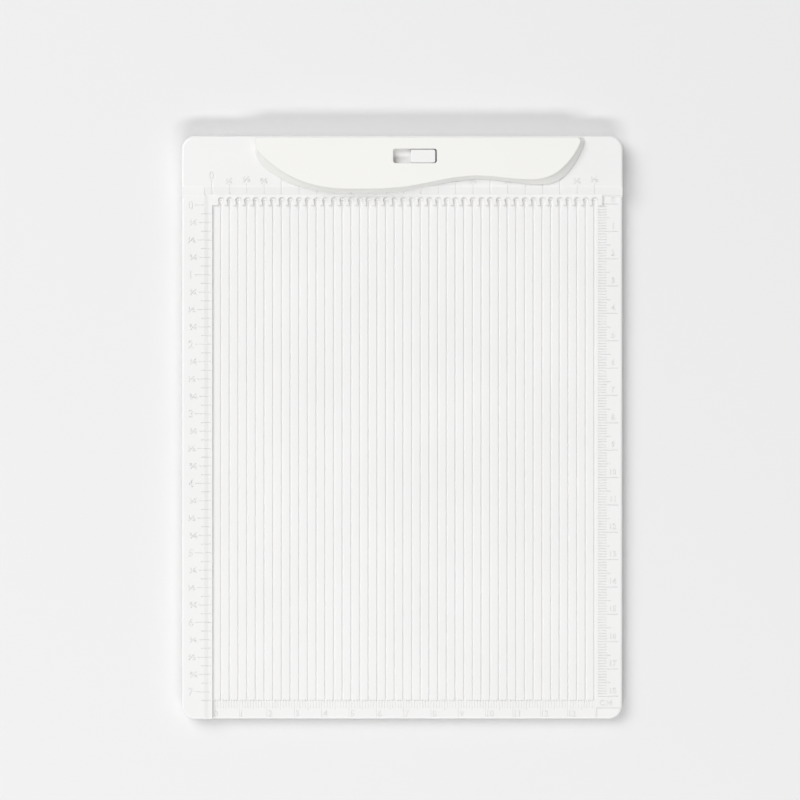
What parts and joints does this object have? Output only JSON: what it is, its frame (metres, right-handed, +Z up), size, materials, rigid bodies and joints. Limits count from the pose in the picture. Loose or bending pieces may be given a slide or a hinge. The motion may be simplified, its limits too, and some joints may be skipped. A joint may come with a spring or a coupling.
{
  "type": "scoring board",
  "caption": "Flat scoring board with parallel score lines, a toothed paper stop, engraved edge rulers and a scoring tool parked on its header.",
  "frame": {"origin": "middle of the board's outline, on the surface it rests on", "axes": "+X across the score lines from the side stop to the right edge, +Y along the score lines towards the header, +Z up out of the scored face"},
  "size_m": [0.161, 0.213, 0.0116],
  "materials": {
    "board_plastic": "satin moulded white plastic",
    "tool_plastic": "smooth warm white plastic",
    "foot_rubber": "soft grey rubber"
  },
  "bodies": {
    "board": {"score_board": "board_plastic", "foot_front_left": "foot_rubber", "foot_front_right": "foot_rubber", "foot_back_left": "foot_rubber", "foot_back_right": "foot_rubber"},
    "tool": {"scoring_tool": "tool_plastic"}
  },
  "joints": [
    {"name": "tool_lift", "type": "slide", "parent": "board", "child": "tool", "axis": [0, 0, 1], "range_m": [0, 0.04]}
  ]
}
